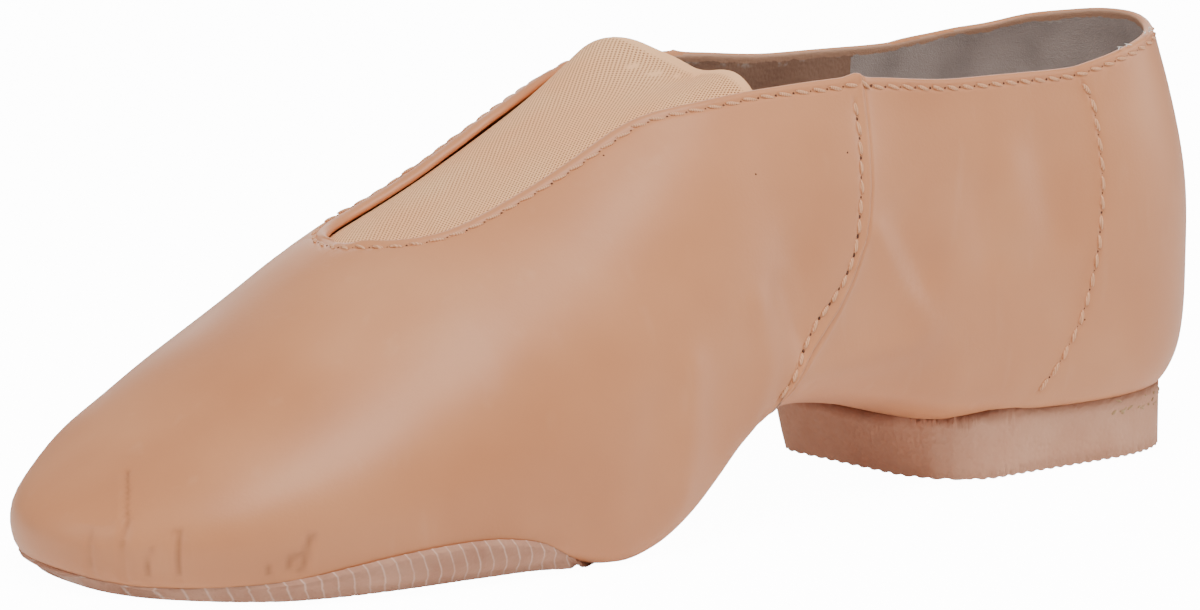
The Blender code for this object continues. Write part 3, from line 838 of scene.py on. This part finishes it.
print("groove each", GROOVE / MM, "mm")

# %% [markdown]
# The patch and the heel are fitted to the soft leather, not to the plain solid: each point of their upper side
# is moved until it nearly touches the skin, which leaves the hairline joint that a glued edge has.
# Before that, the patch's heights are stretched, so that its edge curls further up the side of the leather.

# %% Fitting helpers
JOINT = 0.05 * MM


def sliced(name, places, lean, solid):
    """A merged copy of a solid, rounded and then cut across at these places."""
    made = smoothed(to_piece(name, merged(solid, sharp=True), patch_finish), 2)
    mesh = bmesh.new()
    mesh.from_mesh(made.data)
    for x in places:
        bmesh.ops.bisect_plane(mesh, geom=mesh.verts[:] + mesh.edges[:] + mesh.faces[:], dist=1e-7,
                               plane_co=(x, 0, 0), plane_no=(1, 0, -lean))
    mesh.to_mesh(made.data)
    mesh.free()
    return made


def groove_places(low, high, pitch):
    """Four cuts for every groove."""
    first = int(low / pitch) - 1
    return [(first + k / 4) * pitch + pitch / 8 for k in range(int((high - low) / pitch + 3) * 4)]


print("joint:", JOINT / MM, "mm")

# %% Cut the patch
PATCH_BACK, PATCH_FRONT = 100 * MM, 200 * MM
skin = skin_of(upper)
patch = sliced("grooved_patch", groove_places(PATCH_BACK, PATCH_FRONT, GROOVE), LEAN, "front_sole")
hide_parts("front_sole")
print("patch:", triangles(patch), "triangles")

# %% Fit the patch and press its grooves in
CURL, FLAT, LOW = 2.1, 0.6, 0.9 * MM
SOLID_JOINT = 0.35 * MM
LAID_FROM, LAID_FADE = 0.3 * MM, 1.2 * MM
GROOVE_DEPTH, GROOVE_FADE, GROOVE_POWER = 0.16 * MM, 0.3 * MM, 6
points = points_of(patch.data)
depth = np.array([(skin.find_nearest(Vector(p))[3] or 0) for p in points])
points = settled(points)
points[:, 2] = FLAT * np.minimum(points[:, 2], LOW) + CURL * np.maximum(points[:, 2] - LOW, 0)
thick = JOINT + np.maximum(depth - SOLID_JOINT, 0)
for i, point in enumerate(points):
    hit, normal, _, _ = skin.find_nearest(Vector(point))
    share = 1 if thick[i] == JOINT else min(max((point[2] - LAID_FROM) / LAID_FADE, 0), 1)
    points[i] = np.array(hit + normal * thick[i]) * share + point * (1 - share)
run = points[:, 0] - LEAN * points[:, 2]
lines = np.maximum(np.cos(run * 2 * pi / GROOVE), 0) ** GROOVE_POWER
troughs = GROOVE_DEPTH * lines * np.clip((thick - JOINT) / GROOVE_FADE, 0, 1)
points -= from_middle(points) * troughs[:, None]
points[:, 2] = np.maximum(points[:, 2], 0)
put_points(patch.data, points)
print("patch's edge reaches", round(float(points[:, 2].max()) / MM, 1), "mm high")

# %% [markdown]
# ## The heel
# The heel is one block of red-brown rubber. Its tread is a row of ribs across the foot, which serrate the lower
# edge, and its top is dull, with painted shadow darkening it where the leather overhangs.

# %% Heel finish
RIB = 2.3 * MM
# painted shadow: the dark red-brown of the rubber under the overhanging leather
OVERHANG_SHADOW_COLOUR = (0.30, 0.12, 0.07, 1)
rubber, tree, surface, place = finish("red_brown_rubber", 0.78, 0.2)
height, mask = grain(tree, place, 1100, 90)
base = ramp(tree, mask, ((0.3, (0.57, 0.305, 0.205)), (0.7, (0.64, 0.37, 0.26))))
# painted shadow: the rubber darkens just under the overhanging leather, where "shadow_under_leather" is high
overhang_shadow = math(tree, "MULTIPLY", attribute(tree, "shadow_under_leather"), math(tree, "ADD", mask, 0.35))
join(tree, (mixed(tree, overhang_shadow, base, OVERHANG_SHADOW_COLOUR), surface.inputs["Base Color"]))
bump(tree, surface, height, 0.6, 0.0005)
print("rib each", RIB / MM, "mm")

# %% [markdown]
# A tooth needs edges to stand on, so the block is cut across at four places for every rib. The front face of a
# heel is called its breast; its ribs run the other way, so only the faces there are also cut along the foot.

# %% Cut the heel
HEEL_BACK, HEEL_FRONT, HALF_WIDTH = -37 * MM, 34 * MM, 26 * MM
BREAST_X, BREAST_RIB = 23 * MM, 2.8 * MM
block = sliced("ribbed_heel", groove_places(HEEL_BACK, HEEL_FRONT, RIB), 0.0, "heel")
mesh = bmesh.new()
mesh.from_mesh(block.data)
for y in groove_places(-HALF_WIDTH, HALF_WIDTH, BREAST_RIB):
    breast = [face for face in mesh.faces if face.calc_center_median().x > BREAST_X]
    edges = dict.fromkeys(edge for face in breast for edge in face.edges)
    ends = dict.fromkeys(end for face in breast for end in face.verts)
    bmesh.ops.bisect_plane(mesh, geom=breast + list(edges) + list(ends), dist=1e-7, plane_co=(0, y, 0),
                           plane_no=(0, 1, 0))
mesh.to_mesh(block.data)
mesh.free()
block.data.materials[0] = rubber
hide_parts("heel")
print("heel:", triangles(block), "triangles")

# %% [markdown]
# The breast stands a little further forward than the plain solid's, and its inner corner further in. Then the
# lowest points are lifted to the teeth: ribs across the foot under the heel, along it at the breast.

# %% Move the breast and press the teeth
BREAST_MOVE, INNER_MOVE = 1.2 * MM, 1.6 * MM
MOVE_FROM, MOVE_FADE = 18 * MM, 10 * MM
INNER_FROM, INNER_FADE = 5 * MM, 12 * MM
TOOTH, TOOTH_TOP = 0.32 * MM, 1.2 * MM
TURN_FROM, TURN_FADE = 24 * MM, 3 * MM
points = points_of(block.data)
front = np.clip((points[:, 0] - MOVE_FROM) / MOVE_FADE, 0, 1)
points[:, 0] += BREAST_MOVE * front
points[:, 1] -= INNER_MOVE * front * np.clip((-points[:, 1] - INNER_FROM) / INNER_FADE, 0, 1)
across, along = (0.5 - 0.5 * np.cos(points[:, k] * 2 * pi / pitch) for k, pitch in ((0, RIB), (1, BREAST_RIB)))
turned = np.clip((points[:, 0] - TURN_FROM) / TURN_FADE, 0, 1)
rib = across * (1 - turned) + along * turned
low = points[:, 2] < TOOTH_TOP
points[low, 2] = np.maximum(points[low, 2], (TOOTH * rib ** 2)[low])
print("points of the tread:", int(low.sum()))

# %% [markdown]
# The outer front corner is rounder than the solid's. The wall's distance from a point inside the corner is felt
# every few degrees, and the points are moved so that it changes evenly, which leaves no ridge.

# %% Round the outer corner
CORNER = (18.4 * MM, 12.0 * MM)
WALL_LOWEST, WALL_HIGHEST = 1.5 * MM, 8 * MM
out = points[:, :2] - np.array(CORNER)
turn, reach = np.arctan2(out[:, 1], out[:, 0]), np.linalg.norm(out, axis=1)
wall = (points[:, 2] > WALL_LOWEST) & (points[:, 2] < WALL_HIGHEST)
turns = np.radians(np.arange(0, 91, 3))
outline = np.array([reach[wall & (np.abs(turn - t) < radians(2.5))].max() for t in turns])
even = np.interp(turns, turns[[0, -1]], outline[[0, -1]])
rounder = np.interp(turn, turns, even / outline)
corner = np.all(out > 0, axis=1)
points[corner, :2] += (out * (rounder - 1)[:, None])[corner]
print("corner evened by up to", round(float(np.abs(even - outline).max()) / MM, 1), "mm")

# %% [markdown]
# The heel's top was made for the plain upper. Above a base height that stays, each column of points is
# stretched or shrunk between the base and the soft leather over it. A ray upwards gives both heights, and where
# it misses, the leather is felt a little further in. The room left under it says where painted shadow darkens
# the rubber under the overhanging leather, most at the breast and the front.

# %% Fit the heel under the leather
BASE, SOLID_GAP, RAY = 3.0 * MM, 1.2 * MM, 20 * MM
FREE = 9.0
# painted shadow: rubber with less room than this under the leather, in mm, is darkened over this fade
SHADOW_ROOM, SHADOW_FADE = 1.7, 1.1
REAR_SHADE, SHADE_FROM, SHADE_FADE = 0.25, 12 * MM, 10 * MM
solid_skin = skin_of(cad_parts["upper"])


def heights_over(point):
    """Heights of the plain and of the soft leather over a point of the heel."""
    for inward in (0, 0.06, 0.12, 0.18):
        start = Vector((point[0] * (1 - inward), point[1] * (1 - inward), BASE))
        plain, soft = (tree.ray_cast(start, Vector((0, 0, 1)), RAY)[0] for tree in (solid_skin, skin))
        if plain is not None and soft is not None:
            return plain.z, soft.z
    return None


room = np.full(len(points), FREE)
for i in np.flatnonzero(points[:, 2] > BASE):
    found = heights_over(points[i])
    if found:
        ceiling = found[1] - JOINT
        stretch = (ceiling - BASE) / (found[0] - SOLID_GAP - BASE)
        points[i, 2] = min(BASE + (points[i, 2] - BASE) * stretch, ceiling)
        room[i] = (ceiling - points[i, 2]) / MM
forward = np.clip((points[:, 0] - SHADE_FROM) / SHADE_FADE, 0, 1)
shade = np.clip((SHADOW_ROOM - room) / SHADOW_FADE, 0, 1) * (REAR_SHADE + (1 - REAR_SHADE) * forward)
block.data.attributes.new("shadow_under_leather", "FLOAT", "POINT").data.foreach_set("value", shade)
put_points(block.data, points)
print("heel fitted, points under leather:", int((room < FREE).sum()))

# %% [markdown]
# ## The insole
# A thin sock lies along the foot inside. It only shows from above: grey-brown cloth with a fine nap.

# %% Insole
sock_cloth, tree, surface, place = finish("sock_cloth", 0.95, 0.1)
height, mask = grain(tree, place, 2200, 50)
nap = ramp(tree, mask, ((0.3, (0.30, 0.22, 0.18)), (0.7, (0.40, 0.31, 0.26))))
join(tree, (nap, surface.inputs["Base Color"]))
bump(tree, surface, height, 0.6, 0.0004)
sock = smoothed(to_piece("sock", merged("insole"), sock_cloth), 1)
put_points(sock.data, settled(points_of(sock.data)))
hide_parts("insole")
print("sock:", triangles(sock), "triangles")

# %% [markdown]
# ## Spacing the stitches
# A sewing machine makes stitches of one length, so the path of each seam is walked in equal steps.

# %% Walk a seam
COLLAR_PITCH, SIDE_PITCH = 3.4 * MM, 3.3 * MM


def evenly(path, pitch, closed=False):
    """Places along a path a pitch apart: middle, direction and normal."""
    path = path + path[:1] if closed else path
    steps = [0.0]
    for (a, _), (b, _) in zip(path, path[1:]):
        steps.append(steps[-1] + (b - a).length)
    count = max(int(round(steps[-1] / pitch)), 1)
    places = []
    for k in range(count):
        at = (k + 0.5) * steps[-1] / count
        i = min(int(np.searchsorted(steps, at)) - 1, len(path) - 2)
        t = (at - steps[i]) / max(steps[i + 1] - steps[i], 1e-9)
        (a, na), (b, nb) = path[i], path[i + 1]
        places.append((a.lerp(b, t), (b - a).normalized(), na.lerp(nb, t).normalized()))
    return places


COLLAR_SEAM = evenly(collar_path(skin, SEAM_INSET), COLLAR_PITCH, closed=True)
print("collar stitches:", len(COLLAR_SEAM))

# %% [markdown]
# ## Stitches
# A lockstitch shows as a row of short strokes of thread, each sunk a little at both ends, with a needle hole
# between two strokes. One stroke is a small stretched ball with few faces, repeated many times in one mesh.

# %% Thread and the painted shade of a hole
thread, tree, surface, place = finish("tan_thread", 0.62, 0.3)
twist = node(tree, "ShaderNodeTexWave", Scale=900.0, Distortion=1.0)
join(tree, (place, twist.inputs["Vector"]))
join(tree, (ramp(tree, twist.outputs["Fac"], ((0.1, (0.60, 0.29, 0.155)), (0.9, (0.80, 0.46, 0.275)))),
            surface.inputs["Base Color"]))
bump(tree, surface, twist.outputs["Fac"], 0.4, 0.0001)


def speckled(name, roughness, specular, scale, stops):
    """A finish for something small: two tones in soft specks."""
    made, tree, surface, place = finish(name, roughness, specular)
    join(tree, (ramp(tree, noise(tree, place, scale), stops), surface.inputs["Base Color"]))
    return made


# painted shade: a needle hole or pinhole is a flat disc in this dark colour
hole_shade = speckled("painted_hole_shade", 0.9, 0.1, 500.0, ((0.3, (0.07, 0.033, 0.024)), (0.7, (0.16, 0.08, 0.055))))
print("thread finishes:", thread.name, hole_shade.name)

# %% Strokes and holes
STROKE_SEGMENTS, STROKE_RINGS, HOLE_SEGMENTS = 8, 5, 9
STROKE_LIFT = 0.10 * MM
HOLE_DEPTH, HOLE_LIFT = 0.10 * MM, 0.03 * MM


def pose(at, along, normal, slant=0.0):
    """A turn that lays +X along the seam and +Z out of the leather."""
    side = normal.cross(along).normalized()
    along = side.cross(normal).normalized()
    turned = along * cos(slant) + side * sin(slant)
    other = normal.cross(turned)
    return Matrix.Translation(at) @ Matrix((turned, other, normal)).transposed().to_4x4()


def stroke(mesh, at, along, normal, length, thick, slant=0.0, lift=0.0):
    size = Matrix.Diagonal((length / 2, thick / 2, thick * 0.42, 1))
    bmesh.ops.create_uvsphere(mesh, u_segments=STROKE_SEGMENTS, v_segments=STROKE_RINGS, radius=1,
                              matrix=pose(at + normal * lift, along, normal, slant) @ size)


def hole(mesh, at, along, normal, radius):
    bmesh.ops.create_cone(mesh, cap_ends=True, segments=HOLE_SEGMENTS, radius1=radius, radius2=radius * 0.6,
                          depth=HOLE_DEPTH, matrix=pose(at + normal * HOLE_LIFT, along, normal))


def sew(name, places, length, thick, slant):
    strokes = bmesh.new()
    for at, along, normal in places:
        stroke(strokes, at, along, normal, length, thick, slant, STROKE_LIFT)
    return to_piece(name, strokes, thread)


def pierce(name, places, radius, wander):
    """Needle holes between the strokes: flat dark discs of painted shade."""
    chance = random.Random(4)
    holes = bmesh.new()
    for (at, along, normal), (after, _, _) in zip(places, places[1:]):
        hole(holes, (at + after) / 2, along, normal, radius * (1 + wander * chance.uniform(-1, 1)))
    return to_piece(name, holes, hole_shade)


sew("collar_stitches", COLLAR_SEAM, 2.9 * MM, 0.70 * MM, radians(-16))
pierce("collar_holes", COLLAR_SEAM, 0.22 * MM, 0.3)
print("thread done")

# %% Side seams
for side, where in ((1, "outer"), (-1, "inner")):
    lap = evenly(wall_path(skin, LAP_SEAM, side), SIDE_PITCH)
    sew(f"lap_stitches_{where}", lap, 2.5 * MM, 0.85 * MM, radians(8))
    pierce(f"lap_holes_{where}", lap, 0.40 * MM, 0.3)
    counter = evenly(wall_path(skin, COUNTER_SEAM, side), SIDE_PITCH)
    sew(f"counter_stitches_{where}", counter, 2.7 * MM, 0.88 * MM, radians(12))
    pierce(f"counter_holes_{where}", counter, 0.20 * MM, 0.5)
    print(where, "seams:", len(lap), "and", len(counter), "stitches")

# %% [markdown]
# ## Small signs of making
# A few pinholes dot the leather, bits of cut thread and lint stick to the collar, and crumbs of glue sit in the
# joint above the heel. The pinholes have chosen places; the rest is scattered by a random generator with a
# fixed seed, which gives the same bits each time the script runs.

# %% Pinholes, lint and glue
# columns: x mm, height mm
PINHOLES = ((102.8, 62.4), (59.0, 60.2), (79.8, 58.5), (3.5, 26.4))
# painted shade: each pinhole is a flat dark disc on the leather
pinholes = bmesh.new()
for x, z in PINHOLES:
    at, normal = touch(skin, (x * MM, 0), pi / 2, z * MM)
    hole(pinholes, at, Vector((1, 0, 0)), normal, 0.18 * MM)
to_piece("pinholes", pinholes, hole_shade)

lint_white = speckled("lint", 0.9, 0.2, 900.0, ((0.3, (0.62, 0.60, 0.58)), (0.7, (0.85, 0.84, 0.82))))
glue = speckled("dried_glue", 0.5, 0.4, 300.0, ((0.3, (0.34, 0.19, 0.09)), (0.7, (0.52, 0.34, 0.18))))
print("small finishes:", lint_white.name, glue.name)

# %% Scatter them
LINT_ANGLES = (118, 124, 130, 101, 96)
CRUMBS = 34
CRUMB_LOWEST, CRUMB_HIGHEST = 7.6, 10.2
chance = random.Random(11)
bits = bmesh.new()
for angle in LINT_ANGLES:
    at, normal = below_edge(skin, (HEEL_X, 0), radians(angle), 0.4 * MM)
    for _ in range(2):
        lean = Vector((chance.uniform(-1, 1), chance.uniform(-1, 1), chance.uniform(0.3, 1.4))).normalized()
        stroke(bits, at + lean * 0.7 * MM, lean, normal, chance.uniform(0.9, 2.0) * MM, 0.18 * MM)
to_piece("lint_on_collar", bits, lint_white)

heel_skin = skin_of(block)
crumbs = bmesh.new()
for _ in range(CRUMBS):
    angle = radians(chance.uniform(95, 175))
    out = Vector((cos(angle), sin(angle), 0))
    level = chance.uniform(CRUMB_LOWEST, CRUMB_HIGHEST) * MM
    hit, normal, _, _ = heel_skin.ray_cast(Vector((HEEL_X, 0, level)) + out * FAR, -out)
    if hit is not None:
        stroke(crumbs, hit, Vector((-out.y, out.x, chance.uniform(-0.5, 0.5))), normal,
               chance.uniform(0.8, 1.8) * MM, chance.uniform(0.3, 0.6) * MM)
to_piece("glue_crumbs", crumbs, glue)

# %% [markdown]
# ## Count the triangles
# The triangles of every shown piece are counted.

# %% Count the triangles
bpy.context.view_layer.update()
total = sum(triangles(o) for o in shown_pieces() if o.type == "MESH")
print("triangles in all:", total)
